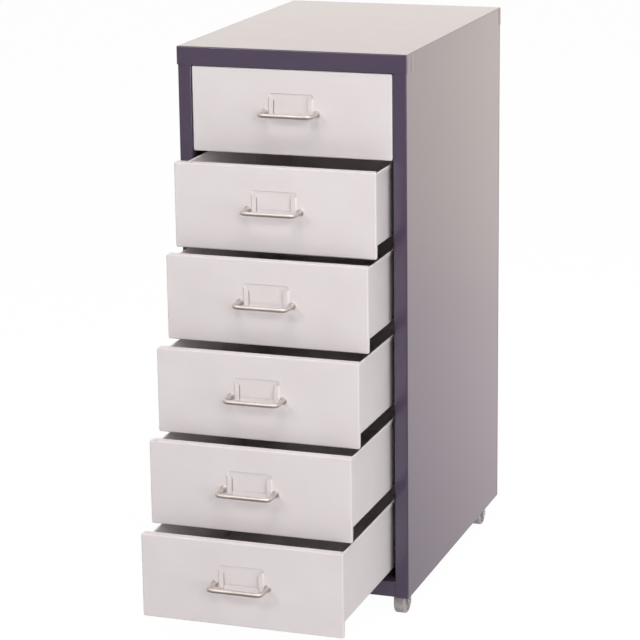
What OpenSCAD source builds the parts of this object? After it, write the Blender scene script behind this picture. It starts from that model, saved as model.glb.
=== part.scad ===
// Small steel drawer cabinet: a folded sheet case on four swivel casters, with six shallow
// drawers that slide on channel runners. Millimetres, +X right, +Y back, +Z up. The origin is on
// the floor, in the middle of the box round the cabinet with its drawers pulled out as drawn.

/* [Case] */
// Width over the top panel
cab_w = 283; // [250:1:340]
// Depth over the top panel, without the screw heads at the back
cab_d = 410; // [390:5:500]
// Thickness of all the sheet steel
sheet = 0.7; // [0.5:0.1:0.9]
// Inside radius of the folds in the case and the runners
fold_r = 0.8; // [0.4:0.2:1.2]
// Height of the top panel's turned-down edges
cap_h = 22; // [18:1:30]
// Gap between the top panel's edges and the panels inside them
cap_clear = 0.3; // [0.2:0.1:0.8]
// Length that the top panel's front edge is wrapped round each corner
cap_wrap = 16; // [12:1:40]
// Length that its rear edge is wrapped round each corner
cap_wrap_rear = 8; // [6:1:40]
// Width of the seam where the wrapped edges end
seam_w = 0.8; // [0.4:0.1:1.2]
// Width of a side panel's front face, beside the drawers
stile_w = 16.4; // [12:0.2:20]
// Depth of the fold behind that face
stile_return = 12; // [8:1:16]
// Width of the side panels' top and rear flanges
flange_w = 14; // [12:1:20]
// Height of the rail under the lowest drawer
rail_h = 19.5; // [18:0.5:30]
// How far the rail sits behind the side panels' front faces
rail_set = 1; // [0.5:0.1:3]
// Depth of the lip under the rail
rail_lip = 8; // [5:1:10]

/* [Drawers] */
// Height of a drawer front
front_h = 101; // [90:1:130]
// Gap between two drawer fronts
front_gap = 1.9; // [1.5:0.1:4]
// Gap above the top front and below the lowest
edge_gap = 1; // [0.8:0.1:3]
// Gap beside a front
side_gap = 1.1; // [0.8:0.05:3]
// Inside radius of the folds round a front
front_r = 1.6; // [0.8:0.2:2.4]
// Depth of the edges folded back round a front
front_return = 10; // [7:1:11]
// Height of a drawer's underside above its front's lower edge
floor_up = 16; // [12:1:22]
// Width of the flange folded in under each drawer side
drawer_flange = 16; // [10:1:24]
// Height of the floor sheet's edge that is turned up behind the front
floor_edge = 9; // [4:1:12]
// Height of the folded-over edge along a drawer's top
hem_h = 7; // [4:1:10]
// Gap inside that folded edge
hem_gap = 1; // [0.4:0.1:1.6]
// How much lower a drawer's back is than its sides
back_drop = 2; // [0.5:0.5:12]
// Depth of the flanges folded forward round a drawer's back
back_flange = 12; // [8:1:20]
// Room between a closed drawer and the back panel
rear_room = 25; // [18:1:60]
// Travel of a drawer from closed to its stop
travel = 300; // [240:5:320]
// Height of the stop tabs above the front's lower edge
stop_z = 50; // [30:1:60]
// Height of a stop tab
stop_h = 12; // [6:1:20]
// Length of a stop tab, from its tip to the fold at its root
stop_l = 9; // [6:1:12]
// How far a stop tab stands out of the drawer's side
stop_out = 3; // [2.6:0.1:4.5]

/* [Drawers pulled out by] */
// Top drawer
open_1 = 0; // [0:0.1:230]
// Second drawer
open_2 = 62.3; // [0:0.1:230]
// Third drawer
open_3 = 93.5; // [0:0.1:230]
// Fourth drawer
open_4 = 129.4; // [0:0.1:230]
// Fifth drawer
open_5 = 159.4; // [0:0.1:230]
// Lowest drawer
open_6 = 192.1; // [0:0.1:230]

/* [Runners] */
// How far a runner reaches in from the side panel
runner_reach = 23; // [20:1:30]
// Gap between a runner and the drawer that slides on it
run_clear = 0.3; // [0.3:0.1:0.5]
// Gap between a runner's lower lip and the drawer below it
keeper_clear = 0.8; // [0.4:0.1:1]
// Gap between a runner's front end and the side panel's fold
runner_inset = 1; // [0.5:0.5:4]
// Length of the bevelled corners at a runner's front end
runner_lead = 6; // [3:1:10]
// Length of a runner behind a closed drawer
runner_past = 12; // [8:1:16]
// Height of the tab that stops a closed drawer
tab_h = 7; // [4:1:10]
// Width of that tab
tab_w = 6; // [4:1:7]

/* [Handle] */
// Diameter of the handle's wire
wire_d = 4.5; // [3:0.5:6]
// Distance between the handle's two legs
handle_w = 64; // [64:1:100]
// Distance from the front to the middle of the grip
handle_out = 25; // [18:1:36]
// Distance of the handle below the front's upper edge
handle_drop = 50.5; // [46:0.5:56]
// Bend radius along the middle of the wire
wire_bend = 6; // [4:0.5:8]
// Diameter of the collars that seat the wire on the front
collar_d = 8.5; // [7:0.5:9.5]
// Thickness of those collars
collar_t = 1.4; // [0.8:0.1:2]

/* [Label holder] */
// Width of the pressed pocket
label_w = 54; // [40:1:55]
// Height of the pocket
label_h = 29; // [20:1:34]
// Distance of the pocket below the front's upper edge
label_drop = 28; // [22:1:30]
// Depth that the pocket is pressed in
label_in = 0.9; // [0.4:0.1:1.2]
// Width of the lips that hold the card
lip_w = 5.7; // [4:0.1:8]
// Height of the side lips
lip_h = 22; // [12:1:24]
// Height of their lower ends above the pocket's lower edge
lip_rise = 2; // [1:0.5:4]
// Gap between the lower lip and the side lips
lip_split = 0.6; // [0.4:0.1:1.5]
// How far the lips stand out of the front
lip_out = 1.6; // [1.2:0.1:3]

/* [Casters] */
// Diameter of a wheel
wheel_d = 30; // [26:1:36]
// Width of a wheel
wheel_w = 14; // [10:1:16]
// How far a wheel trails behind its swivel axis
trail = 7.5; // [5:0.5:9]
// Distance of the swivel axis in from the side panel's outer face
caster_in_x = 18; // [18:1:30]
// Distance of the swivel axis in from the top panel's front and back edges
caster_in_y = 28; // [28:1:50]
// Diameter of the axle
axle_d = 4; // [3:0.5:5]
// Diameter of the fork's crown
crown_d = 22; // [20:1:24]
// Height of the fork's crown
crown_h = 5.5; // [5:0.5:6]
// Thickness of the fork's cheeks
cheek_t = 1.6; // [1.2:0.1:2]
// Diameter of the stem's bearing
journal_d = 6; // [5:0.5:7]
// Diameter of the stem's thread
stem_d = 8; // [6:1:8]
// Height of the nuts welded under the base
nut_h = 6.5; // [5:0.5:6.5]
// Thickness of a nut round the thread
nut_wall = 3.5; // [3:0.5:4]

/* [Screws] */
// Diameter of a screw's head
head_d = 7; // [6:0.5:8]
// Height of a screw's head
head_h = 1.8; // [1.4:0.1:2.4]
// Diameter of a screw's shank
shank_d = 3.5; // [3:0.5:4]
// Screws down each side of the back panel
screws_high = 4; // [2:1:6]

/* [Hidden] */
DRAWERS = [1 : 6];
SIDES = [["left", -1], ["right", 1]];
CORNERS = [["front_left", -1, -1], ["front_right", 1, -1], ["rear_left", -1, 1], ["rear_right", 1, 1]];
CASE_SHEETS = ["top_panel", "base_panel", "back_panel"];
FASTENERS = ["back_screws", "top_screws", "caster_stems", "caster_nuts"];

case_colour = [0.36, 0.31, 0.38];
drawer_colour = [0.88, 0.86, 0.86];
steel_colour = [0.78, 0.76, 0.73];
wheel_colour = [0.66, 0.66, 0.67];

fold_steps = 4; // flats that make up one fold
cut = 1; // how far a cutting shape runs past what it cuts
run_fit = 0.05; // radial clearance of a shaft in its hole
apart = 0.3; // smallest gap between parts that move past each other
wheel_room = 1; // gap between the top of a wheel and the case
hub_gap = 0.5; // gap between a wheel's hub and the fork's cheeks
tyre_gap = 1.5; // gap between the top of a wheel and the fork's crown
shoulder_t = 1.5; // thickness of the shoulder that the crown hangs on
shoulder_out = 1.8; // how far it stands out round the stem's bearing

pulled = [open_1, open_2, open_3, open_4, open_5, open_6];
cap_step = sheet + cap_clear;
handle_reach = handle_out + wire_d / 2;

// Heights above the floor
body_z = wheel_d + wheel_room;
base_z = body_z + rail_h;
pitch = front_h + front_gap;
cap_z = base_z + 2 * edge_gap + len(pulled) * front_h + (len(pulled) - 1) * front_gap;
top_z = cap_z + cap_h - sheet;
panel_top = top_z - fold_r; // upper edge of the walls inside the top panel, clear of its folds
function drawer_z(k) = base_z + edge_gap + (len(pulled) - k) * pitch;

// Half widths
side_x = cab_w / 2 - cap_step;
inner_x = side_x - sheet;
stile_x = side_x - stile_w;
front_x = stile_x - side_gap;
back_x = front_x - 2 * sheet - apart / 2;

// Depths: the drawer fronts' closed faces, the case's layers from the back, and a drawer's length
face_y = (max(pulled) + handle_reach + cap_step - cab_d - head_h) / 2;
rear_y = face_y - cap_step + cab_d;
panel_y = rear_y - cap_step;
flange_y = panel_y - sheet;
drawer_d = flange_y - sheet - rear_room - face_y;
stop_y = travel + stile_return + apart;
runner_y = face_y + stile_return + runner_inset;
runner_end = face_y + drawer_d + runner_past;

// Casters: the fork's inner faces, its outer faces and the levels round its swivel
hub_x = wheel_w / 2 + hub_gap;
cheek_x = hub_x + cheek_t;
crown_z = wheel_d + tyre_gap;
neck_z = crown_z + crown_h;
shoulder_z = crown_z + shoulder_t + 2 * apart;

// ---- Bent sheet: an outline that follows a centre line, with a true-to-size fold at each corner

function spin(v, a) = [v.x * cos(a) - v.y * sin(a), v.x * sin(a) + v.y * cos(a)];
function way(a, b) = (b - a) / norm(b - a);
function bend(u, v) = atan2(u.x * v.y - u.y * v.x, u * v);
function left(u) = [-u.y, u.x];

// One face of the fold at b, on the left of the line (face = 1) or on its right (face = -1)
function fold(a, b, c, t, r, face) =
    let (u = way(a, b), angle = bend(u, way(b, c)), s = sign(angle), mid = r + t / 2)
    let (centre = b - u * mid * tan(abs(angle) / 2) + left(u) * s * mid)
    let (spoke = left(u) * s * (mid - s * face * t / 2))
    [for (i = [0 : fold_steps]) centre - spin(spoke, angle * i / fold_steps)];

function edge(p, t, r, face) =
    let (n = len(p) - 1)
    concat(
        [p[0] + left(way(p[0], p[1])) * face * t / 2],
        [for (i = [1 : 1 : n - 1]) each fold(p[i - 1], p[i], p[i + 1], t, is_num(r) ? r : r[i - 1], face)],
        [p[n] + left(way(p[n - 1], p[n])) * face * t / 2]
    );

function backwards(p) = [for (i = [len(p) - 1 : -1 : 0]) p[i]];

module bent(p, r = fold_r, t = sheet) {
    polygon(concat(edge(p, t, r, 1), backwards(edge(p, t, r, -1))));
}

module along_y(from, to) {
    translate([0, to, 0]) rotate([90, 0, 0]) linear_extrude(to - from) children();
}

module along_x(from, to) {
    translate([from, 0, 0]) rotate([90, 0, 90]) linear_extrude(to - from) children();
}

module box(from, to) {
    translate(from) cube(to - from);
}

module on_both_sides() {
    for (s = [0, 1]) mirror([s, 0, 0]) children();
}

// ---- Folded tray, w by d by h, closed on top: edges folded down with an outside radius

function arc(centre, r, from) =
    [for (i = [0 : fold_steps]) centre + spin([r, 0], from + 90 * i / fold_steps)];

module round_top(w, h, r) {
    polygon(concat([[-w / 2, 0], [w / 2, 0]], arc([w / 2 - r, h - r], r, 0), arc([r - w / 2, h - r], r, 90)));
}

module round_plan(w, d, r) {
    polygon(concat(
        arc([w / 2 - r, d / 2 - r], r, 0), arc([r - w / 2, d / 2 - r], r, 90),
        arc([r - w / 2, r - d / 2], r, 180), arc([w / 2 - r, r - d / 2], r, 270)
    ));
}

module tray_block(w, d, h, r, corner_r) {
    intersection() {
        along_y(-d / 2, d / 2) round_top(w, h, r);
        along_x(-w / 2, w / 2) round_top(d, h, r);
        linear_extrude(h) {
            if (corner_r > 0) round_plan(w, d, corner_r);
            else square([w, d], center = true);
        }
    }
}

module folded_tray(w, d, h, r, corner_r = 0) {
    difference() {
        tray_block(w, d, h, r + sheet, corner_r > 0 ? corner_r + sheet : 0);
        translate([0, 0, -cut])
            tray_block(w - 2 * sheet, d - 2 * sheet, h - sheet + cut, r, corner_r);
    }
}

// ---- Case

module top_panel() {
    front_seam = rear_y - cab_d + cap_wrap;
    rear_seam = rear_y - cap_wrap_rear - seam_w;
    color(case_colour)
        difference() {
            translate([0, rear_y - cab_d / 2, cap_z])
                folded_tray(cab_w, cab_d, cap_h, fold_r, fold_r);
            on_both_sides() {
                for (y = [front_seam, rear_seam])
                    box([inner_x, y, cap_z - cut], [cab_w / 2 + cut, y + seam_w, top_z - fold_r]);
                top_screw_place() screw_hole();
            }
        }
}

module side_panel() {
    wall_x = side_x - sheet / 2;
    flange_from = face_y + stile_return + flange_w;
    flange_to = flange_y - flange_w;
    difference() {
        translate([0, 0, body_z])
            linear_extrude(panel_top - body_z)
                bent([
                    [stile_x + sheet / 2, face_y + stile_return],
                    [stile_x + sheet / 2, face_y + sheet / 2],
                    [wall_x, face_y + sheet / 2],
                    [wall_x, flange_y - sheet / 2],
                    [side_x - flange_w, flange_y - sheet / 2],
                ]);
        box([inner_x - cut, flange_from, top_z - cap_h / 2], [side_x + cut, flange_to, top_z + cut]);
        back_screw_places() screw_hole();
        top_screw_place() screw_hole();
    }
    along_y(flange_from, flange_to)
        bent([
            [wall_x, top_z - cap_h / 2],
            [wall_x, top_z - sheet / 2],
            [side_x - flange_w, top_z - sheet / 2],
        ]);
}

module base_panel() {
    joint = 0.1;
    floor_z = base_z - sheet / 2;
    skirt_x = inner_x - sheet / 2;
    tongue_x = stile_x - joint;
    rail_y = face_y + rail_set + sheet / 2;
    color(case_colour) {
        along_y(face_y + stile_return + joint, flange_y - sheet - fold_r)
            bent([[-skirt_x, body_z], [-skirt_x, floor_z], [skirt_x, floor_z], [skirt_x, body_z]]);
        along_x(-tongue_x, tongue_x)
            bent([
                [rail_y + rail_lip, body_z + sheet / 2],
                [rail_y, body_z + sheet / 2],
                [rail_y, floor_z],
                [flange_y - sheet / 2, floor_z],
                [flange_y - sheet / 2, body_z],
            ]);
    }
}

module back_panel() {
    color(case_colour)
        difference() {
            box([-side_x, flange_y, body_z], [side_x, panel_y, panel_top]);
            on_both_sides() {
                back_screw_places() screw_hole();
                top_screw_place() screw_hole();
            }
        }
}

// ---- Runners: channels under the drawers, whose lower lips keep the drawers below from tipping

function ledge_z(k) = drawer_z(k) + floor_up - run_clear;
function keeper_z(k) = k < len(pulled) ? drawer_z(k + 1) + front_h + keeper_clear : base_z;

module runner(k) {
    web_x = inner_x - sheet / 2;
    lip_x = inner_x - runner_reach;
    low = keeper_z(k) + sheet / 2;
    high = ledge_z(k) - sheet / 2;
    tab_y = face_y + drawer_d + apart + sheet / 2;
    lead = runner_lead * sqrt(2);
    difference() {
        along_y(runner_y, runner_end)
            bent([[lip_x, low], [web_x, low], [web_x, high], [lip_x, high]]);
        translate([lip_x, runner_y, low - cut])
            rotate(45)
                cube([lead, lead, 2 * (high - low) + 2 * cut], center = true);
    }
    along_x(lip_x, lip_x + tab_w)
        bent([[runner_end, high], [tab_y, high], [tab_y, high + tab_h]]);
}

module keeper() {
    web_x = inner_x - sheet / 2;
    low = drawer_z(1) + front_h + keeper_clear + sheet / 2;
    along_y(runner_y, runner_end)
        bent([[inner_x - runner_reach, low], [web_x, low], [web_x, low + cap_h / 2]]);
}

// ---- Screws

module screw_hole() {
    depth = cap_step + 2 * sheet + cut;
    rotate([90, 0, 0]) cylinder(h = 2 * depth, d = shank_d + 2 * run_fit, center = true, $fn = 32);
}

module screw(grip) {
    slot_w = 1.1;
    slot_h = head_h / 2;
    difference() {
        rotate([-90, 0, 0]) {
            cylinder(h = head_h * 0.6, d = head_d, $fn = 40);
            translate([0, 0, head_h * 0.6])
                cylinder(h = head_h * 0.4, d1 = head_d, d2 = head_d * 0.7, $fn = 40);
            translate([0, 0, -grip]) cylinder(h = grip, d = shank_d, $fn = 32);
        }
        for (a = [0, 90])
            rotate([0, a, 0])
                box([-slot_w / 2, head_h - slot_h, -head_d / 3], [slot_w / 2, head_h + cut, head_d / 3]);
    }
}

module back_screw_places() {
    margin = 25;
    rise = (cap_z - body_z - 2 * margin) / (screws_high - 1);
    for (i = [0 : screws_high - 1])
        translate([side_x - flange_w / 2, panel_y, body_z + margin + i * rise]) children();
}

module top_screw_place() {
    translate([side_x - flange_w / 2, rear_y, cap_z + cap_h / 2]) children();
}

module back_screws() {
    color(steel_colour) on_both_sides() back_screw_places() screw(2 * sheet + 3);
}

module top_screws() {
    color(steel_colour) on_both_sides() top_screw_place() screw(cap_step + 2 * sheet + 3);
}

// ---- Drawer, drawn with its front's face at y = 0 and its lower edge at z = 0

module shell_side() {
    wall_x = front_x - sheet / 2;
    hem_x = wall_x - sheet - hem_gap;
    flange_z = floor_up + 1.5 * sheet;
    along_y(front_return + apart, drawer_d)
        bent(
            [
                [hem_x, front_h - hem_h],
                [hem_x, front_h - sheet / 2],
                [wall_x, front_h - sheet / 2],
                [wall_x, flange_z],
                [front_x - drawer_flange, flange_z],
            ],
            [hem_gap / 2, hem_gap / 2, fold_r]
        );
}

module front_tray() {
    joint = 2;
    slit_x = front_x - sheet - apart;
    difference() {
        translate([0, front_return + joint, front_h / 2])
            rotate([90, 0, 0])
                folded_tray(2 * front_x, front_h, front_return + joint, front_r);
        for (z = [[front_h - hem_h, front_h + cut], [-cut, floor_up + hem_h]])
            box([-front_x - cut, front_return, z[0]], [front_x + cut, front_return + joint + cut, z[1]]);
        on_both_sides()
            translate([slit_x, front_r + sheet, front_h - 2 * sheet])
                cube([apart, front_return - front_r - sheet + cut, 2 * sheet + cut]);
    }
}

module label_pocket(from, to, wall = 0) {
    low = front_h - label_drop - label_h;
    corner = 3;
    along_y(from, to)
        translate([0, low + label_h / 2])
            round_plan(label_w + 2 * wall, label_h + 2 * wall, corner + wall);
}

// Lips lanced out of the front: a card slides in from above, behind both side lips
module label_lips() {
    lip_t = sheet;
    lip_y = lip_t / 2 - lip_out;
    root_x = label_w / 2;
    root_z = front_h - label_drop - label_h;
    tip_x = root_x - lip_w;
    side_z = root_z + lip_rise;
    side_top = side_z + lip_h;
    on_both_sides()
        intersection() {
            translate([0, 0, side_z])
                linear_extrude(lip_h)
                    bent([[root_x, sheet + label_in], [root_x, lip_y], [tip_x, lip_y]], lip_t / 2, lip_t);
            along_y(-lip_out - cut, sheet + label_in)
                polygon([
                    [tip_x - cut, side_z], [root_x + cut, side_z], [root_x + cut, side_top],
                    [tip_x + lip_w / 2, side_top], [tip_x - cut, side_top - lip_w / 2 - cut],
                ]);
        }
    along_x(lip_w + lip_split - root_x, root_x - lip_w - lip_split)
        bent([[sheet + label_in, root_z], [lip_y, root_z], [lip_y, root_z + lip_w]], lip_t / 2, lip_t);
}

module stop_tab() {
    wall_x = front_x - sheet / 2;
    root_y = stop_y + stop_l;
    translate([0, 0, stop_z])
        linear_extrude(stop_h)
            bent([[wall_x, root_y + sheet], [wall_x, root_y], [wall_x + stop_out, stop_y]]);
}

module stop_window() {
    room = 1;
    translate([front_x - 2 * sheet, stop_y, stop_z - room])
        cube([2 * sheet + cut, stop_l - sheet, stop_h + 2 * room]);
}

module drawer_shell() {
    color(drawer_colour) {
        difference() {
            union() {
                front_tray();
                on_both_sides() shell_side();
                label_pocket(sheet / 2, sheet + label_in, sheet);
            }
            label_pocket(-cut, label_in);
            on_both_sides() {
                stop_window();
                handle_leg_place() rotate([90, 0, 0])
                    cylinder(h = 4 * sheet, d = wire_d + 2 * run_fit, center = true, $fn = 40);
            }
        }
        label_lips();
        on_both_sides() stop_tab();
    }
}

module drawer_floor() {
    floor_x = front_x - sheet - max(fold_r, front_r);
    floor_z = floor_up + sheet / 2;
    color(drawer_colour)
        along_x(-floor_x, floor_x)
            bent([[1.5 * sheet, floor_up + floor_edge], [1.5 * sheet, floor_z], [drawer_d, floor_z]]);
}

module drawer_back() {
    wall_y = drawer_d - sheet / 2;
    low = floor_up + 2 * sheet + apart;
    hem_low = front_h - hem_h - apart;
    top = front_h - back_drop - sheet / 2;
    flange_z = floor_up + 1.5 * sheet;
    hem_x = front_x - 2 * sheet - hem_gap - apart;
    flange_x = front_x - drawer_flange - apart;
    color(drawer_colour) {
        translate([0, 0, low])
            linear_extrude(hem_low - low)
                bent([
                    [-back_x, drawer_d - back_flange],
                    [-back_x, wall_y],
                    [back_x, wall_y],
                    [back_x, drawer_d - back_flange],
                ]);
        along_x(-hem_x, hem_x)
            bent(
                [
                    [wall_y, hem_low - hem_h],
                    [wall_y, top],
                    [wall_y - sheet - hem_gap, top],
                    [wall_y - sheet - hem_gap, top - hem_h],
                ],
                hem_gap / 2
            );
        along_x(-flange_x, flange_x)
            bent([[drawer_d - back_flange, flange_z], [wall_y, flange_z], [wall_y, low + hem_h]]);
    }
}

module handle_leg_place() {
    translate([handle_w / 2, 0, front_h - handle_drop]) children();
}

module drawer_handle() {
    peen_t = 1.2;
    peen_d = wire_d + 2.4;
    color(steel_colour) {
        on_both_sides() {
            handle_leg_place() {
                rotate([90, 0, 0]) {
                    translate([0, 0, -sheet - peen_t])
                        cylinder(h = handle_out - wire_bend + sheet + peen_t, d = wire_d, $fn = 40);
                    translate([0, 0, -sheet - peen_t]) cylinder(h = peen_t, d = peen_d, $fn = 40);
                    cylinder(h = collar_t, d = collar_d, $fn = 40);
                }
                translate([-wire_bend, wire_bend - handle_out, 0])
                    rotate([0, 0, -90])
                        rotate_extrude(angle = 90, $fn = 64)
                            translate([wire_bend, 0]) circle(d = wire_d, $fn = 40);
            }
        }
        translate([wire_bend - handle_w / 2, -handle_out, front_h - handle_drop])
            rotate([0, 90, 0]) cylinder(h = handle_w - 2 * wire_bend, d = wire_d, $fn = 40);
    }
}

// ---- Casters, drawn with the swivel axis on Z and the wheel trailing towards +Y

module caster_fork() {
    eye_r = axle_d / 2 + 3;
    pocket_r = journal_d / 2 + shoulder_out + apart + run_fit;
    waist = crown_d / 2 - 3;
    color(steel_colour)
        difference() {
            union() {
                translate([0, 0, crown_z]) cylinder(h = crown_h, d = crown_d, $fn = 64);
                on_both_sides()
                    along_x(hub_x, cheek_x) {
                        translate([trail, wheel_d / 2]) circle(r = eye_r, $fn = 48);
                        polygon([
                            [trail - eye_r, wheel_d / 2], [trail + eye_r, wheel_d / 2],
                            [waist, crown_z + crown_h / 2], [-waist, crown_z + crown_h / 2],
                        ]);
                    }
            }
            translate([0, 0, crown_z - cut])
                cylinder(h = crown_h + 2 * cut, d = journal_d + 2 * run_fit, $fn = 48);
            translate([0, 0, crown_z - cut]) cylinder(h = shoulder_z - crown_z + cut, r = pocket_r, $fn = 48);
            translate([0, trail, wheel_d / 2]) rotate([0, 90, 0])
                cylinder(h = 2 * cheek_x + 2 * cut, d = axle_d + 2 * run_fit, center = true, $fn = 40);
        }
}

module caster_axle() {
    rivet_t = 1;
    rivet_d = axle_d + 2.5;
    color(steel_colour)
        translate([0, trail, wheel_d / 2]) rotate([0, 90, 0]) {
            cylinder(h = 2 * cheek_x, d = axle_d, center = true, $fn = 40);
            for (s = [-1, 1])
                translate([0, 0, s * (cheek_x + rivet_t / 2)])
                    cylinder(h = rivet_t, d = rivet_d, center = true, $fn = 40);
        }
}

module caster_wheel() {
    round_r = 2;
    rim_t = 3;
    web_w = wheel_w / 2;
    hub_r = axle_d / 2 + 2.5;
    half = wheel_w / 2;
    rim = wheel_d / 2;
    color(wheel_colour)
        translate([0, trail, wheel_d / 2]) rotate([0, 90, 0])
            rotate_extrude($fn = 72)
                polygon(concat(
                    [[axle_d / 2 + run_fit, -half], [hub_r, -half], [hub_r, -web_w / 2]],
                    [[rim - rim_t, -web_w / 2], [rim - rim_t, -half]],
                    arc([rim - round_r, round_r - half], round_r, -90),
                    arc([rim - round_r, half - round_r], round_r, 0),
                    [[rim - rim_t, half], [rim - rim_t, web_w / 2]],
                    [[hub_r, web_w / 2], [hub_r, half], [axle_d / 2 + run_fit, half]]
                ));
}

module caster_stem() {
    nut_z = base_z - sheet - nut_h;
    color(steel_colour) {
        translate([0, 0, crown_z + apart]) {
            cylinder(h = shoulder_t, d = journal_d + 2 * shoulder_out, $fn = 48);
            cylinder(h = neck_z - crown_z, d = journal_d, $fn = 48);
        }
        translate([0, 0, neck_z + apart]) cylinder(h = nut_z - neck_z - apart, d = stem_d + 2 * nut_wall, $fn = 6);
        translate([0, 0, nut_z]) cylinder(h = nut_h - apart, d = stem_d, $fn = 48);
    }
}

module caster_nut() {
    color(steel_colour)
        translate([0, 0, base_z - sheet - nut_h])
            difference() {
                cylinder(h = nut_h, d = stem_d + 2 * nut_wall, $fn = 6);
                translate([0, 0, -cut]) cylinder(h = nut_h + 2 * cut, d = stem_d + 2 * run_fit, $fn = 48);
            }
}

module at_corner(c) {
    axis_y = c[2] < 0 ? rear_y - cab_d + caster_in_y : rear_y - caster_in_y;
    translate([c[1] * (side_x - caster_in_x), axis_y, 0]) rotate(c[2] < 0 ? 0 : 180) children();
}

module at_drawer(k) {
    translate([0, face_y - pulled[k - 1], drawer_z(k)]) children();
}

module at_side(s) {
    mirror([s[1] < 0 ? 1 : 0, 0, 0]) children();
}

// ---- Assembly

top_panel();
base_panel();
back_panel();
back_screws();
top_screws();
for (c = CORNERS) at_corner(c) caster_stem();  // caster_stems
for (c = CORNERS) at_corner(c) caster_nut();  // caster_nuts
for (s = SIDES) {
    color(case_colour) at_side(s) side_panel();
    color(case_colour) at_side(s) keeper();
}
for (k = DRAWERS, s = SIDES)
    color(case_colour) at_side(s) runner(k);
for (c = CORNERS) {
    at_corner(c) caster_fork();
    at_corner(c) caster_axle();
    at_corner(c) caster_wheel();
}
for (k = DRAWERS) {
    at_drawer(k) drawer_shell();
    at_drawer(k) drawer_floor();
    at_drawer(k) drawer_back();
    at_drawer(k) drawer_handle();
}
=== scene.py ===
import math

import bmesh
import bpy
from mathutils import Matrix, Vector


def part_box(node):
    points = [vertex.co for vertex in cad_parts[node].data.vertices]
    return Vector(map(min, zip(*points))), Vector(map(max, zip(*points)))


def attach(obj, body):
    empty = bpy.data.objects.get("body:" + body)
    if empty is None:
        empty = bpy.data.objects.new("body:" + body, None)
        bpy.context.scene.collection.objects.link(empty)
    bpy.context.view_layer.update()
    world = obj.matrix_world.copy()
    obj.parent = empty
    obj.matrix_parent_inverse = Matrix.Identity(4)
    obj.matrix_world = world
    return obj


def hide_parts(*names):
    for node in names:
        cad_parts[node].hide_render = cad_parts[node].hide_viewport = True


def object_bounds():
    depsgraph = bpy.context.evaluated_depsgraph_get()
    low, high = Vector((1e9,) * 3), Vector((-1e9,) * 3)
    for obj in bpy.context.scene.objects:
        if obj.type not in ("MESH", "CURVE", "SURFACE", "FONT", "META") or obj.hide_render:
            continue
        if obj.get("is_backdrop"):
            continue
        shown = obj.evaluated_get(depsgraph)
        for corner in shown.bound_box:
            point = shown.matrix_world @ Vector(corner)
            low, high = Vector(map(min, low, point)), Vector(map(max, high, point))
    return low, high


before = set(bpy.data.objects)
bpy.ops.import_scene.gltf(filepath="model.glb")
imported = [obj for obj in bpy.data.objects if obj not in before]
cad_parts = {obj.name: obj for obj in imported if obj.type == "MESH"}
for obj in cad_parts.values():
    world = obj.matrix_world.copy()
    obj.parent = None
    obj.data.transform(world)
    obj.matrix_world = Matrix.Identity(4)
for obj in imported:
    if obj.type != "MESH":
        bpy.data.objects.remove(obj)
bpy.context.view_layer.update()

# ---- Top panel
# One steel sheet with its four edges folded down outside the case, so that the front edge wraps
# round both corners and ends in a seam on each side. Stoved plum enamel, two screws at the back.

SHEET = 0.7  # all the sheet steel, in millimetres: every piece is drawn in them and then scaled
CASE_FOLD = 1.15  # radius of a case fold, along the middle of the sheet
CUT_EDGE = 0.12  # rounding of a cut edge


def node_box(node):
    low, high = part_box(node)
    return low * 1000, high * 1000


def shader_of(name):
    material = bpy.data.materials.new(name)
    material.use_nodes = True
    tree = material.node_tree
    return material, tree, tree.nodes["Principled BSDF"]


def spots(tree, grain, detail=2.0, stretch=(1, 1, 1)):
    """Noise over the piece, with patches of one grain's size in metres."""
    place = tree.nodes.new("ShaderNodeTexCoord")
    turn = tree.nodes.new("ShaderNodeMapping")
    turn.inputs["Scale"].default_value = stretch
    noise = tree.nodes.new("ShaderNodeTexNoise")
    noise.inputs["Scale"].default_value = 1 / grain
    noise.inputs["Detail"].default_value = detail
    tree.links.new(place.outputs["Object"], turn.inputs["Vector"])
    tree.links.new(turn.outputs["Vector"], noise.inputs["Vector"])
    return noise.outputs["Fac"]


def spread(tree, source, low, high, lowest=0.3, highest=0.7):
    """The source's middle range, stretched between two values."""
    span = tree.nodes.new("ShaderNodeMapRange")
    span.inputs["From Min"].default_value = lowest
    span.inputs["From Max"].default_value = highest
    span.inputs["To Min"].default_value = low
    span.inputs["To Max"].default_value = high
    tree.links.new(source, span.inputs["Value"])
    return span.outputs["Result"]


def tint(tree, source, first, second):
    """One colour where the source is low, the other where it is high."""
    mix = tree.nodes.new("ShaderNodeMix")
    mix.data_type = "RGBA"
    mix.inputs["A"].default_value = (*first, 1)
    mix.inputs["B"].default_value = (*second, 1)
    tree.links.new(spread(tree, source, 0, 1), mix.inputs["Factor"])
    return mix.outputs["Result"]


def dents(tree, shader, source, depth, strength, coat=False):
    bump = tree.nodes.new("ShaderNodeBump")
    bump.inputs["Distance"].default_value = depth
    bump.inputs["Strength"].default_value = strength
    tree.links.new(source, bump.inputs["Height"])
    tree.links.new(bump.outputs["Normal"], shader.inputs["Normal"])
    if coat:
        tree.links.new(bump.outputs["Normal"], shader.inputs["Coat Normal"])


def enamel(name, thin, thick, rough, coat):
    """Stoved paint: a faint cloud in its colour and gloss, and the orange peel of spraying."""
    material, tree, shader = shader_of(name)
    cloud = spots(tree, 0.06)
    tree.links.new(tint(tree, cloud, thin, thick), shader.inputs["Base Color"])
    gloss = spread(tree, spots(tree, 0.02), rough * 0.92, rough * 1.08)
    tree.links.new(gloss, shader.inputs["Roughness"])
    shader.inputs["Coat Weight"].default_value = coat
    shader.inputs["Coat Roughness"].default_value = rough * 0.8
    dents(tree, shader, spots(tree, 0.0022, 1.0), 0.0001, 0.12, coat=True)
    return material


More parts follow.
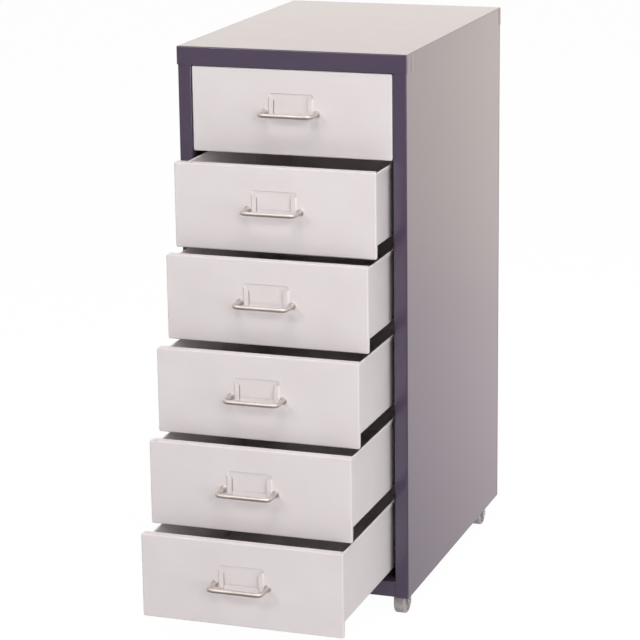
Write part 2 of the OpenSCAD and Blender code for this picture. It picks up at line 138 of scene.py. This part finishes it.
def fold(bm, edges, radius, turn=90, steps=6):
    """Bends the sheet along these edges."""
    bmesh.ops.bevel(
        bm, geom=edges, offset=radius * math.tan(math.radians(turn) / 2), offset_type="OFFSET",
        segments=steps, profile=0.5, affect="EDGES", material=-1, clamp_overlap=False,
    )


def verts_in(geom):
    return [g for g in geom if isinstance(g, bmesh.types.BMVert)]


def edges_in(geom):
    return [g for g in geom if isinstance(g, bmesh.types.BMEdge)]


def folded_strip(bm, corners, run, radii):
    """A strip of sheet that follows these corners of its middle line, with a fold at each."""
    run = Vector(run)
    line = [bm.verts.new(c) for c in corners]
    wires = [bm.edges.new(pair) for pair in zip(line, line[1:])]
    swept = bmesh.ops.extrude_edge_only(bm, edges=wires)["geom"]
    bmesh.ops.translate(bm, vec=run, verts=verts_in(swept))
    turns = []
    for before, corner, after in zip(line, line[1:], line[2:]):
        turns.append(math.degrees((corner.co - before.co).angle(after.co - corner.co)))
    for corner, turn, radius in zip(line[1:-1], turns, radii):
        far = corner.co + run
        crease = [e for e in corner.link_edges if (e.other_vert(corner).co - far).length < 0.001]
        fold(bm, crease, radius, turn)


def cut(bm, point, normal, drop=False):
    """Cuts the sheet along a plane, and drops what lies beyond it if asked."""
    bmesh.ops.bisect_plane(
        bm, geom=bm.verts[:] + bm.edges[:] + bm.faces[:], dist=0.0001,
        plane_co=point, plane_no=normal, clear_outer=drop,
    )


def put(bm, name, body, material, nodes):
    """Makes the finished mesh an object at the origin that rides on its body."""
    bmesh.ops.scale(bm, vec=(0.001, 0.001, 0.001), verts=bm.verts)
    mesh = bpy.data.meshes.new(name)
    bm.to_mesh(mesh)
    bm.free()
    mesh.shade_smooth()
    mesh.materials.append(material)
    piece = bpy.data.objects.new(name, mesh)
    bpy.context.scene.collection.objects.link(piece)
    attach(piece, body)
    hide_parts(*nodes)
    return piece


def thicken(piece):
    """Gives folded sheet its thickness, eases its cut edges and keeps its flats flat."""
    wall = piece.modifiers.new("thickness", "SOLIDIFY")
    wall.thickness = SHEET / 1000
    wall.offset = 0
    wall.use_even_offset = True
    ease(piece, CUT_EDGE)


def ease(piece, width):
    """Rounds the edges that turn by over 50 degrees."""
    rounding = piece.modifiers.new("eased edges", "BEVEL")
    rounding.width = width / 1000
    rounding.segments = 2
    rounding.limit_method = "ANGLE"
    rounding.angle_limit = math.radians(50)
    flats = piece.modifiers.new("flats", "WEIGHTED_NORMAL")
    flats.weight = 60


def case_sheet(bm, name, node):
    """A finished sheet of the case, in place of its node."""
    thicken(put(bm, name, "cabinet", case_paint, [node]))


case_paint = enamel("case_paint", (0.074, 0.053, 0.096), (0.082, 0.060, 0.108), 0.2, 1.0)
FRONT_WRAP, FRONT_SEAM, REAR_WRAP, REAR_SEAM = 16, 0.8, 8, 2
JOGGLE, JOGGLE_DEEP = 29, 0.25  # how far back a line is pressed into each side, and how deep

top_low, top_high = node_box("top_panel")
size = top_high - top_low
top = bmesh.new()
bmesh.ops.create_cube(top, size=1)
bmesh.ops.scale(top, verts=top.verts, vec=(size.x - SHEET, size.y - SHEET, size.z - SHEET / 2))
bmesh.ops.translate(top, verts=top.verts, vec=(top_low + top_high) / 2 - Vector((0, 0, SHEET / 4)))
bmesh.ops.delete(top, geom=[f for f in top.faces if f.normal.z < -0.9], context="FACES_ONLY")
fold(top, [e for e in top.edges if not e.is_boundary], CASE_FOLD)
seam_top = top_high.z - SHEET - CASE_FOLD / 2
cut(top, (0, 0, seam_top), (0, 0, 1))
for near, far in (
    (top_low.y + FRONT_WRAP, top_low.y + FRONT_WRAP + FRONT_SEAM),
    (top_high.y - REAR_WRAP - REAR_SEAM, top_high.y - REAR_WRAP),
):
    for y in (near, far):
        cut(top, (0, y, 0), (0, 1, 0))
    bmesh.ops.delete(top, context="FACES", geom=[
        f for f in top.faces
        if near < f.calc_center_median().y < far and f.calc_center_median().z < seam_top
    ])
for y in (-1, 0, 1):
    cut(top, (0, top_low.y + JOGGLE + y, 0), (0, 1, 0))
for v in top.verts:
    if abs(v.co.y - top_low.y - JOGGLE) < 0.01 and v.co.z < seam_top + 0.01:
        v.co.x -= math.copysign(JOGGLE_DEEP, v.co.x)
case_sheet(top, "folded_top_panel", "top_panel")

# ---- Side panels
# Each is one sheet: a folded edge and a narrow front face beside the drawers, the wall, and a
# flange behind that takes the back panel's screws. Same plum enamel.

STILE_RETURN = 12
REAR_FLANGE = 14

for side, sign in (("left", -1), ("right", 1)):
    low, high = node_box("side_panel_" + side)
    stile_x, side_x = sorted((abs(low.x), abs(high.x)))
    return_x, wall_x = stile_x + SHEET / 2, side_x - SHEET / 2
    front_y, rear_y = low.y + SHEET / 2, high.y - SHEET / 2
    panel = bmesh.new()
    folded_strip(
        panel,
        [
            (sign * return_x, low.y + STILE_RETURN, low.z),
            (sign * return_x, front_y, low.z),
            (sign * wall_x, front_y, low.z),
            (sign * wall_x, rear_y, low.z),
            (sign * (side_x - REAR_FLANGE), rear_y, low.z),
        ],
        (0, 0, high.z - low.z),
        [CASE_FOLD] * 3,
    )
    case_sheet(panel, "folded_side_panel_" + side, "side_panel_" + side)

# ---- Base, back, runners and keepers
# The base pan carries the front rail under the lowest drawer, with a lip turned in below it. The
# back is a flat sheet. Runners are channels and keepers angle strips, spot-welded to the walls and
# enamelled with them.

low, high = node_box("base_panel")
RAIL_LIP = 8
BASE_CLEAR = 0.1
SKIRT_FROM, SKIRT_SHORT = 12, 2  # how far behind the rail a side skirt starts, and stops short
tongue_x = stile_x - BASE_CLEAR
floor_z = high.z - SHEET / 2
rail_y = low.y + SHEET / 2
rear_y = high.y - SHEET / 2
base = bmesh.new()
folded_strip(
    base,
    [
        (-tongue_x, rail_y + RAIL_LIP, low.z + SHEET / 2),
        (-tongue_x, rail_y, low.z + SHEET / 2),
        (-tongue_x, rail_y, floor_z),
        (-tongue_x, rear_y, floor_z),
        (-tongue_x, rear_y, low.z),
    ],
    (2 * tongue_x, 0, 0),
    [CASE_FOLD] * 3,
)
for sign in (-1, 1):
    folded_strip(
        base,
        [
            (sign * tongue_x, rail_y + SKIRT_FROM, floor_z),
            (sign * (high.x - SHEET / 2), rail_y + SKIRT_FROM, floor_z),
            (sign * (high.x - SHEET / 2), rail_y + SKIRT_FROM, low.z),
        ],
        (0, rear_y - rail_y - SKIRT_FROM - SKIRT_SHORT, 0),
        [CASE_FOLD],
    )
case_sheet(base, "folded_base", "base_panel")

for node in ["back_panel", "keeper_left", "keeper_right"] + [
    f"runner_{k}_{side}" for k in range(1, 7) for side in ("left", "right")
]:
    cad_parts[node].data.materials[0] = case_paint

# ---- Drawer shells
# One sheet makes a drawer's front, its folded edges and both sides. The sides are set in behind
# the front and stand lower, with a hem turned outwards along the top and a flange for the floor. A
# card pocket is pressed into the front, with three lips lanced out round it. Satin white enamel.

DRAWERS = range(1, 7)
SIDE_GAP = 1.1
FRONT_W = 2 * (stile_x - SIDE_GAP)
FRONT_H = 101
FRONT_FOLD = 1.2
FRONT_CORNER = 1.7
FRONT_RETURN = 10
SIDE_RETURN = 4
SIDE_IN = 6.5
SIDE_DROP = 4.3
HEM = 3.5
HEM_FOLD = 0.85
FLANGE_Z = 10.7
FLANGE_W = 9
FLOOR_LIP = 9
BACK_FOOT, BACK_HEAD = 12, 6
POCKET_W, POCKET_H, POCKET_DROP, POCKET_DEPTH = 54, 29, 28, 0.9
POCKET_RIM, POCKET_WALL, POCKET_FOLD, POCKET_CORNER, POCKET_MARGIN = 0.5, 0.3, 0.18, 3.5, 4
LIP_W, LIP_H, LIP_RISE, LIP_SPLIT, LIP_OUT, LIP_COVER = 5.7, 22, 2, 0.6, 1.6, 0.15
SLOT_MARGIN = 1

drawer_paint = enamel("drawer_paint", (0.855, 0.80, 0.81), (0.885, 0.835, 0.845), 0.42, 0.15)


def drawer_sheet(bm, k, name, part):
    """A finished sheet of this drawer, in place of that part of it."""
    drawer = f"drawer_{k}"
    nodes = [f"{drawer}_{part}"]
    thicken(put(bm, f"{drawer}_{name}", drawer, drawer_paint, nodes))


def face_front(bm, verts, place):
    """Turns what was drawn flat to face along Y, and moves it into place."""
    quarter = Matrix.Rotation(math.radians(90), 3, "X")
    bmesh.ops.rotate(bm, verts=verts, cent=(0, 0, 0), matrix=quarter)
    bmesh.ops.translate(bm, verts=verts, vec=place)


def card_pocket(bm, front_y):
    """Presses the pocket into the front's flat, with rounded corners and a steep wall."""
    middle_z = FRONT_H - POCKET_DROP - POCKET_H / 2

    def within(item, grow):
        spot = sum((v.co for v in item.verts), Vector()) / len(item.verts)
        return (
            abs(spot.x) < POCKET_W / 2 + grow and abs(spot.z - middle_z) < POCKET_H / 2 + grow
            and abs(spot.y - front_y) < POCKET_DEPTH + 0.1
        )

    for sign in (-1, 1):
        cut(bm, (sign * (POCKET_W / 2 + POCKET_MARGIN), 0, 0), (1, 0, 0))
        cut(bm, (0, 0, middle_z + sign * (POCKET_H / 2 + POCKET_MARGIN)), (0, 0, 1))
    flat = next(f for f in bm.faces if within(f, 1))
    around = flat.edges[:]
    bmesh.ops.delete(bm, geom=[flat], context="FACES_ONLY")
    pressed = bmesh.ops.create_grid(bm, x_segments=1, y_segments=1, size=0.5)["verts"]
    bmesh.ops.scale(
        bm, verts=pressed, vec=(POCKET_W + 2 * POCKET_RIM, POCKET_H + 2 * POCKET_RIM, 1),
    )
    face_front(bm, pressed, (0, front_y, middle_z))
    bmesh.ops.bevel(
        bm, geom=pressed, offset=POCKET_CORNER, segments=6, profile=0.5, affect="VERTICES",
        material=-1,
    )
    for step in (POCKET_RIM, POCKET_WALL):
        sheet = max((f for f in bm.faces if within(f, 0)), key=bmesh.types.BMFace.calc_area)
        bmesh.ops.inset_region(
            bm, faces=[sheet], thickness=step, depth=0, use_boundary=True, use_even_offset=True,
        )
    sheet = max((f for f in bm.faces if within(f, 0)), key=bmesh.types.BMFace.calc_area)
    bmesh.ops.translate(bm, verts=sheet.verts[:], vec=(0, POCKET_DEPTH, 0))
    creases = [
        e for e in bm.edges
        if within(e, 0.2) and abs(e.verts[0].co.y - e.verts[1].co.y) < 0.01
        and not all(abs(f.normal.y) > 0.9 for f in e.link_faces)
    ]
    bmesh.ops.bevel(
        bm, geom=creases, offset=POCKET_FOLD, segments=3, profile=0.5, affect="EDGES", material=-1,
    )
    rim = [e for e in bm.edges if e.is_boundary and within(e, 1)]
    bmesh.ops.triangle_fill(bm, edges=around + rim, use_beauty=True, use_dissolve=False)
    side_z = middle_z - POCKET_H / 2 + LIP_RISE
    lip_x = POCKET_W / 2 - LIP_W + LIP_COVER
    out_x = POCKET_W / 2 - SLOT_MARGIN
    slot_z = side_z + LIP_H - LIP_W / 2 - SLOT_MARGIN
    lance(bm, front_y, -out_x, -lip_x, side_z, slot_z)
    lance(bm, front_y, lip_x, out_x, side_z, slot_z)


def lance(bm, front_y, left, right, low, high):
    """Opens the pocket's flat where a lip was cut from it."""
    def pressed():
        return [
            f for f in bm.faces
            if abs(f.calc_center_median().y - front_y - POCKET_DEPTH) < 0.01
            and abs(f.normal.y) > 0.9
        ]

    for point, normal in (
        ((left, 0, 0), (1, 0, 0)), ((right, 0, 0), (1, 0, 0)),
        ((0, 0, low), (0, 0, 1)), ((0, 0, high), (0, 0, 1)),
    ):
        flats = pressed()
        edges = {e for f in flats for e in f.edges}
        verts = {v for f in flats for v in f.verts}
        bmesh.ops.bisect_plane(
            bm, geom=[*verts, *edges, *flats], dist=0.0001, plane_co=point, plane_no=normal,
        )
    bmesh.ops.delete(bm, context="FACES", geom=[
        f for f in pressed()
        if left < f.calc_center_median().x < right and low < f.calc_center_median().z < high
    ])


def card_lips(bm):
    """The two side lips, cut away at their upper inner corners, and the lower lip."""
    low = FRONT_H - POCKET_DROP - POCKET_H
    side_z = low + LIP_RISE
    out_y = SHEET / 2 - LIP_OUT
    for sign in (-1, 1):
        leaf = bmesh.new()
        folded_strip(
            leaf,
            [
                (sign * POCKET_W / 2, SHEET + POCKET_DEPTH, side_z),
                (sign * POCKET_W / 2, out_y, side_z),
                (sign * (POCKET_W / 2 - LIP_W), out_y, side_z),
            ],
            (0, 0, LIP_H),
            [SHEET],
        )
        corner = (sign * (POCKET_W / 2 - LIP_W / 2), 0, side_z + LIP_H)
        cut(leaf, corner, (-sign, 0, 1), drop=True)
        spare = bpy.data.meshes.new("lip")
        leaf.to_mesh(spare)
        leaf.free()
        bm.from_mesh(spare)
        bpy.data.meshes.remove(spare)
    left = LIP_W + LIP_SPLIT - POCKET_W / 2
    folded_strip(
        bm,
        [(left, SHEET + POCKET_DEPTH, low), (left, out_y, low), (left, out_y, low + LIP_W)],
        (-2 * left, 0, 0),
        [SHEET],
    )


def drawer_shell(depth):
    """The folded shell with its front's face at y = 0 and its lower edge at z = 0."""
    bm = bmesh.new()
    high_x = FRONT_W / 2 - SHEET / 2
    high_z = FRONT_H - SHEET / 2
    bmesh.ops.create_cube(bm, size=1)
    bmesh.ops.scale(bm, verts=bm.verts, vec=(2 * high_x, FRONT_RETURN - SHEET / 2, FRONT_H - SHEET))
    bmesh.ops.translate(bm, verts=bm.verts, vec=(0, (FRONT_RETURN + SHEET / 2) / 2, FRONT_H / 2))
    bmesh.ops.delete(bm, geom=[f for f in bm.faces if f.normal.y > 0.9], context="FACES_ONLY")
    fold(bm, [e for e in bm.edges if abs(e.verts[0].co.y - e.verts[1].co.y) > 1], FRONT_CORNER)
    fold(bm, [e for e in bm.edges if all(v.co.y < 1 for v in e.verts)], FRONT_FOLD, steps=8)
    card_pocket(bm, SHEET / 2)
    cut(bm, (0, SIDE_RETURN, 0), (0, 1, 0))
    bmesh.ops.delete(bm, context="FACES", geom=[
        f for f in bm.faces
        if abs(f.calc_center_median().x) > high_x - FRONT_CORNER
        and f.calc_center_median().y > SIDE_RETURN
    ])
    wall_x = high_x - SIDE_IN
    hem_x = wall_x + 2 * HEM_FOLD
    rim_z = high_z - SIDE_DROP
    wall_low, wall_high = FLANGE_Z + CASE_FOLD, rim_z - HEM_FOLD
    for z in (wall_low, wall_high):
        cut(bm, (0, 0, z), (0, 0, 1))
    ends = [
        e for e in bm.edges
        if all(v.co.y > SIDE_RETURN - 0.01 and abs(v.co.x) > high_x - 0.01 for v in e.verts)
        and all(wall_low - 0.01 < v.co.z < wall_high + 0.01 for v in e.verts)
    ]
    stepped = bmesh.ops.extrude_edge_only(bm, edges=ends)["geom"]
    for v in verts_in(stepped):
        v.co.x -= math.copysign(SIDE_IN, v.co.x)
    start = SIDE_RETURN + SHEET
    for sign in (-1, 1):
        folded_strip(
            bm,
            [
                (sign * hem_x, start, rim_z - HEM),
                (sign * hem_x, start, rim_z),
                (sign * wall_x, start, rim_z),
                (sign * wall_x, start, FLANGE_Z),
                (sign * (wall_x - FLANGE_W), start, FLANGE_Z),
            ],
            (0, depth - start, 0),
            [HEM_FOLD, HEM_FOLD, CASE_FOLD],
        )
    card_lips(bm)
    bmesh.ops.remove_doubles(bm, verts=bm.verts, dist=0.002)
    return bm


for k in DRAWERS:
    shell_low, shell_high = node_box(f"drawer_{k}_shell")
    shell = drawer_shell(shell_high.y - shell_low.y - LIP_OUT)
    bmesh.ops.translate(shell, verts=shell.verts, vec=(0, shell_low.y + LIP_OUT, shell_low.z))
    drawer_sheet(shell, k, "folded_shell", "shell")
    inside_x = FRONT_W / 2 - SIDE_IN - 1.5 * SHEET
    floor_z = shell_low.z + FLANGE_Z + SHEET
    front_y = shell_low.y + LIP_OUT + 1.5 * SHEET
    pan = bmesh.new()
    folded_strip(
        pan,
        [
            (-inside_x, front_y, floor_z + FLOOR_LIP),
            (-inside_x, front_y, floor_z),
            (-inside_x, shell_high.y, floor_z),
        ],
        (2 * inside_x, 0, 0),
        [CASE_FOLD],
    )
    drawer_sheet(pan, k, "pan", "floor")
    back_y = shell_high.y - SHEET / 2
    back_high = shell_high.z - SIDE_DROP - HEM_FOLD
    rear = bmesh.new()
    folded_strip(
        rear,
        [
            (-inside_x, back_y - BACK_FOOT, floor_z + SHEET),
            (-inside_x, back_y, floor_z + SHEET),
            (-inside_x, back_y, back_high),
            (-inside_x, back_y - BACK_HEAD, back_high),
        ],
        (2 * inside_x, 0, 0),
        [CASE_FOLD] * 2,
    )
    drawer_sheet(rear, k, "rear", "back")

# ---- Pulls
# Nickel-plated steel wire bent to a flat U. Each leg passes through the front, is seated on a
# thin collar and is peened over behind the sheet.

WIRE = 5.1
GRIP_W = 64
BEND = 6
COLLAR, COLLAR_T, PEENED = 8.5, 1.4, 6.9
PULL_EDGE = 0.25


def plated(name, bright, dull, rough):
    material, tree, shader = shader_of(name)
    tree.links.new(tint(tree, spots(tree, 0.012), bright, dull), shader.inputs["Base Color"])
    drawn = spots(tree, 0.0008, 2.0, stretch=(0.04, 1, 1))
    tree.links.new(spread(tree, drawn, rough * 0.8, rough * 1.2), shader.inputs["Roughness"])
    dents(tree, shader, drawn, 0.00003, 0.06)
    shader.inputs["Metallic"].default_value = 1
    return material


nickel = plated("nickel", (0.68, 0.63, 0.60), (0.60, 0.556, 0.53), 0.52)
satin_nickel = plated("satin_nickel", (0.78, 0.74, 0.74), (0.71, 0.675, 0.675), 0.5)


def stretch(bm, edges, vec):
    """Draws the wire on in a straight line, and gives its new end."""
    swept = bmesh.ops.extrude_edge_only(bm, edges=edges)["geom"]
    bmesh.ops.translate(bm, vec=vec, verts=verts_in(swept))
    return [e for e in edges_in(swept) if e.is_boundary]


def elbow(bm, edges, centre):
    """Bends the wire a quarter turn round a point, and gives its new end."""
    return edges_in(bmesh.ops.spin(
        bm, geom=edges, cent=centre, axis=(0, 0, 1), angle=math.radians(-90), steps=8,
        use_duplicate=False,
    )["geom_last"])


for k in DRAWERS:
    low, high = node_box(f"drawer_{k}_handle")
    face_y = node_box(f"drawer_{k}_shell")[0].y + LIP_OUT
    grip_z = (low.z + high.z) / 2
    grip_y = low.y + WIRE / 2
    pull = bmesh.new()
    ring = bmesh.ops.create_circle(pull, cap_ends=False, segments=28, radius=WIRE / 2)["verts"]
    face_front(pull, ring, (GRIP_W / 2, high.y, grip_z))
    edges = pull.edges[:]
    bmesh.ops.edgeloop_fill(pull, edges=edges)
    edges = stretch(pull, edges, (0, grip_y + BEND - high.y, 0))
    edges = elbow(pull, edges, (GRIP_W / 2 - BEND, grip_y + BEND, grip_z))
    edges = stretch(pull, edges, (2 * BEND - GRIP_W, 0, 0))
    edges = elbow(pull, edges, (BEND - GRIP_W / 2, grip_y + BEND, grip_z))
    edges = stretch(pull, edges, (0, high.y - grip_y - BEND, 0))
    bmesh.ops.edgeloop_fill(pull, edges=edges)
    wire_faces = set(pull.faces)
    for sign in (-1, 1):
        for near, far, wide in (
            (face_y - COLLAR_T, face_y, COLLAR), (face_y + SHEET, high.y, PEENED),
        ):
            disc = bmesh.ops.create_cone(
                pull, cap_ends=True, segments=32, radius1=wide / 2, radius2=wide / 2,
                depth=far - near,
            )["verts"]
            face_front(pull, disc, (sign * GRIP_W / 2, (near + far) / 2, grip_z))
    for f in pull.faces:
        f.material_index = 0 if f in wire_faces else 1
    bmesh.ops.recalc_face_normals(pull, faces=pull.faces)
    piece = put(
        pull, f"drawer_{k}_pull", f"drawer_{k}", nickel, [f"drawer_{k}_handle"],
    )
    piece.data.materials.append(satin_nickel)
    ease(piece, PULL_EDGE)

# ---- Casters
# A pressed steel fork that turns on a shouldered stem and a riveted axle, all zinc plated, and a
# wheel moulded in translucent grey plastic.

zinc = plated("zinc", (0.80, 0.80, 0.80), (0.72, 0.72, 0.73), 0.4)
wheel_plastic, tree, shader = shader_of("wheel_plastic")
plastic = tint(tree, spots(tree, 0.006), (0.60, 0.58, 0.58), (0.66, 0.64, 0.64))
tree.links.new(plastic, shader.inputs["Base Color"])
tree.links.new(spread(tree, spots(tree, 0.003), 0.24, 0.34), shader.inputs["Roughness"])
dents(tree, shader, spots(tree, 0.0015), 0.00008, 0.1)
shader.inputs["Subsurface Weight"].default_value = 0.3
shader.inputs["Subsurface Scale"].default_value = 0.003

CORNERS = ("front_left", "front_right", "rear_left", "rear_right")
for corner in CORNERS:
    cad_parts[f"caster_{corner}_wheel"].data.materials[0] = wheel_plastic
    for part in ("fork", "axle"):
        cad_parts[f"caster_{corner}_{part}"].data.materials[0] = zinc

# ---- Screws, stems and weld nuts
# Zinc-plated sheet-metal screws with cross recesses. The caster stems stand in nuts that are
# welded under the base.

for node in ("back_screws", "top_screws", "caster_stems", "caster_nuts"):
    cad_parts[node].data.materials[0] = zinc

# ---- Studio floor
# A plain pale sweep that is white to the camera and keeps a soft shadow. Glossy surfaces see a glow
# in its place instead, a painted reflection of a lit studio: a grey that is darkest in front of the
# cabinet, where it is painted shade, lighter behind, and dimmer on the right.

SWEEP_FROM, SWEEP_TO = -1.5, 4.3  # where the mirrored grey begins and ends, in metres along Y
SWEEP = (  # Y, how bright, and how blue against the red
    (-1.5, 0.32, 0.95), (-0.9, 0.11, 0.95), (-0.3, 0.28, 0.95), (0, 0.53, 0.935),
    (0.3, 0.61, 0.935), (0.6, 0.68, 0.935), (1.0, 0.74, 0.92), (1.4, 0.78, 0.905),
    (1.8, 0.855, 0.865), (2.3, 0.91, 0.85), (2.9, 0.945, 0.84), (3.5, 0.98, 0.83),
    (4.3, 1.0, 0.83),
)
SWEEP_GREEN = 0.9  # how green it is against the red
SLANT = -0.28  # added to X for each metre of Y, so that the grey dims along slanted lines
FADE_FROM, FADE_TO, FADE_BRIGHT, FADE_DIM = 0.02, 0.19, 1.254, 0.946
WHITE, WHITE_SHARE = 1.05, 0.93  # the camera sees this share of white, the rest is the lit floor


def glow(tree, kind, colour, strength):
    lamp = tree.nodes.new(kind)
    lamp.inputs["Color"].default_value = (*colour, 1)
    lamp.inputs["Strength"].default_value = strength
    return lamp


def math_node(tree, operation, first):
    node = tree.nodes.new("ShaderNodeMath")
    node.operation = operation
    tree.links.new(first, node.inputs[0])
    return node


def either(tree, share, first, second):
    """The second shader by this share, and the first for the rest."""
    mix = tree.nodes.new("ShaderNodeMixShader")
    tree.links.new(share, mix.inputs["Fac"])
    tree.links.new(first, mix.inputs[1])
    tree.links.new(second, mix.inputs[2])
    return mix.outputs["Shader"]


floor = bmesh.new()
bmesh.ops.create_grid(floor, x_segments=1, y_segments=1, size=6)
mesh = bpy.data.meshes.new("studio_floor")
floor.to_mesh(mesh)
floor.free()
studio_floor = bpy.data.objects.new("studio_floor", mesh)
bpy.context.scene.collection.objects.link(studio_floor)
material, tree, shader = shader_of("studio_floor")
shader.inputs["Base Color"].default_value = (0.82, 0.82, 0.82, 1)
shader.inputs["Roughness"].default_value = 0.9
shader.inputs["Specular IOR Level"].default_value = 0
white = glow(tree, "ShaderNodeEmission", (1, 1, 1), WHITE)
# Painted reflection: a glow that only glossy rays see, with painted shade in front of the cabinet.
painted_reflection = tree.nodes.new("ShaderNodeEmission")
place = tree.nodes.new("ShaderNodeTexCoord")
axes = tree.nodes.new("ShaderNodeSeparateXYZ")
tree.links.new(place.outputs["Object"], axes.inputs["Vector"])
sweep = tree.nodes.new("ShaderNodeValToRGB")
while len(sweep.color_ramp.elements) < len(SWEEP):
    sweep.color_ramp.elements.new(0.5)
for stop, (y, level, blue) in zip(sweep.color_ramp.elements, SWEEP):
    stop.position = (y - SWEEP_FROM) / (SWEEP_TO - SWEEP_FROM)
    stop.color = (level, level * SWEEP_GREEN, level * blue, 1)
tree.links.new(spread(tree, axes.outputs["Y"], 0, 1, SWEEP_FROM, SWEEP_TO), sweep.inputs["Fac"])
tree.links.new(sweep.outputs["Color"], painted_reflection.inputs["Color"])
aside = math_node(tree, "MULTIPLY_ADD", axes.outputs["Y"])
aside.inputs[1].default_value = SLANT
tree.links.new(axes.outputs["X"], aside.inputs[2])
fade = spread(tree, aside.outputs[0], FADE_BRIGHT, FADE_DIM, FADE_FROM, FADE_TO)
tree.links.new(fade, painted_reflection.inputs["Strength"])
ray = tree.nodes.new("ShaderNodeLightPath")
seen = math_node(tree, "MULTIPLY", ray.outputs["Is Camera Ray"])
seen.inputs[1].default_value = WHITE_SHARE
lit = either(tree, seen.outputs[0], shader.outputs["BSDF"], white.outputs["Emission"])
mirrored = either(tree, ray.outputs["Is Glossy Ray"], lit, painted_reflection.outputs["Emission"])
tree.links.new(mirrored, tree.nodes["Material Output"].inputs["Surface"])
studio_floor.data.materials.append(material)
studio_floor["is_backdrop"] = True

# ---- Light
# A large softbox overhead, one at each side in front and one low on the right, in a white room
# that is brighter on the right. Glossy surfaces mirror a warmer room, whose front is dark near
# the floor.

ROOM_LEFT, ROOM_RIGHT = 0.045, 0.47
FRONT_LOW, FRONT_HIGH, ROOM_BACK = 0.2, 0.85, 1.08
DARK_UP_TO, BRIGHT_FROM = 0.15, 0.4  # heights in the mirrored room's front, 1 is straight up
FRONT_TO_BACK = 0.15  # the front passes into the back between this much before and behind

world = bpy.data.worlds.new("white_room")
bpy.context.scene.world = world
world.use_nodes = True
tree = world.node_tree
room = tree.nodes["Background"]
room.inputs["Color"].default_value = (1, 0.965, 0.95, 1)
way = tree.nodes.new("ShaderNodeTexCoord")
axes = tree.nodes.new("ShaderNodeSeparateXYZ")
tree.links.new(way.outputs["Generated"], axes.inputs["Vector"])
aside = spread(tree, axes.outputs["X"], ROOM_LEFT, ROOM_RIGHT, 0, 1)
tree.links.new(aside, room.inputs["Strength"])
warm = tree.nodes.new("ShaderNodeBackground")
warm.inputs["Color"].default_value = (1, 0.93, 0.875, 1)
bright = tree.nodes.new("ShaderNodeMix")
behind = spread(tree, axes.outputs["Y"], 0, 1, -FRONT_TO_BACK, FRONT_TO_BACK)
tree.links.new(behind, bright.inputs["Factor"])
before = spread(tree, axes.outputs["Z"], FRONT_LOW, FRONT_HIGH, DARK_UP_TO, BRIGHT_FROM)
tree.links.new(before, bright.inputs["A"])
bright.inputs["B"].default_value = ROOM_BACK
tree.links.new(bright.outputs["Result"], warm.inputs["Strength"])
clear = glow(tree, "ShaderNodeBackground", (1, 1, 1), 1)
ray = tree.nodes.new("ShaderNodeLightPath")
seen = math_node(tree, "MAXIMUM", ray.outputs["Is Camera Ray"])
tree.links.new(ray.outputs["Is Transmission Ray"], seen.inputs[1])
mirrored = either(
    tree, ray.outputs["Is Glossy Ray"], room.outputs["Background"], warm.outputs["Background"],
)
direct = either(tree, seen.outputs[0], mirrored, clear.outputs["Background"])
tree.links.new(direct, tree.nodes["World Output"].inputs["Surface"])


AIM = Vector((0, 0, 0.35))  # about the middle of the cabinet's height


def softbox(name, place, width, height, power, colour=(1, 1, 1)):
    lamp = bpy.data.lights.new(name, "AREA")
    lamp.color = colour
    lamp.shape = "RECTANGLE"
    lamp.size = width
    lamp.size_y = height
    lamp.energy = power
    holder = bpy.data.objects.new(name, lamp)
    holder.location = place
    holder.rotation_euler = (AIM - Vector(place)).to_track_quat("-Z", "Y").to_euler()
    bpy.context.scene.collection.objects.link(holder)


softbox("top_softbox", (0.4, -1.2, 3.0), 1.6, 1.6, 38, (1, 0.96, 0.93))
softbox("right_softbox", (1.65, -2.37, 1.57), 0.8, 0.8, 18)
softbox("left_softbox", (-1.19, -2.54, 1.77), 0.8, 0.8, 15)
softbox("low_softbox", (2.6, -1.6, 0.5), 1.2, 0.8, 16.5)

# ---- Camera
# A long lens some three metres away, to the right of the cabinet's front and above it, and held
# with a slight roll.

AZIMUTH, ELEVATION, ROLL = (math.radians(a) for a in (19.192, 14.782, -0.736))
EYE_X, EYE_BEFORE, EYE_Z = 0.98788, 2.74473, 1.13713  # metres, with Y from the side panels' front
camera = bpy.data.cameras.new("camera")
camera.lens = 143
camera.sensor_width = 36
camera.clip_end = 50
back = Vector((
    math.sin(AZIMUTH) * math.cos(ELEVATION),
    -math.cos(AZIMUTH) * math.cos(ELEVATION),
    math.sin(ELEVATION),
))
right = (-back).cross(Vector((0, 0, 1))).normalized()
up = right.cross(-back)
across = right * math.cos(ROLL) + up * math.sin(ROLL)
upward = up * math.cos(ROLL) - right * math.sin(ROLL)
eye = bpy.data.objects.new("camera", camera)
bpy.context.scene.collection.objects.link(eye)
stand = Matrix.Translation((EYE_X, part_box("side_panel_left")[0].y - EYE_BEFORE, EYE_Z))
eye.matrix_world = stand @ Matrix((across, upward, back)).transposed().to_4x4()
bpy.context.scene.camera = eye
bpy.context.scene.view_settings.view_transform = "Standard"

low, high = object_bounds()
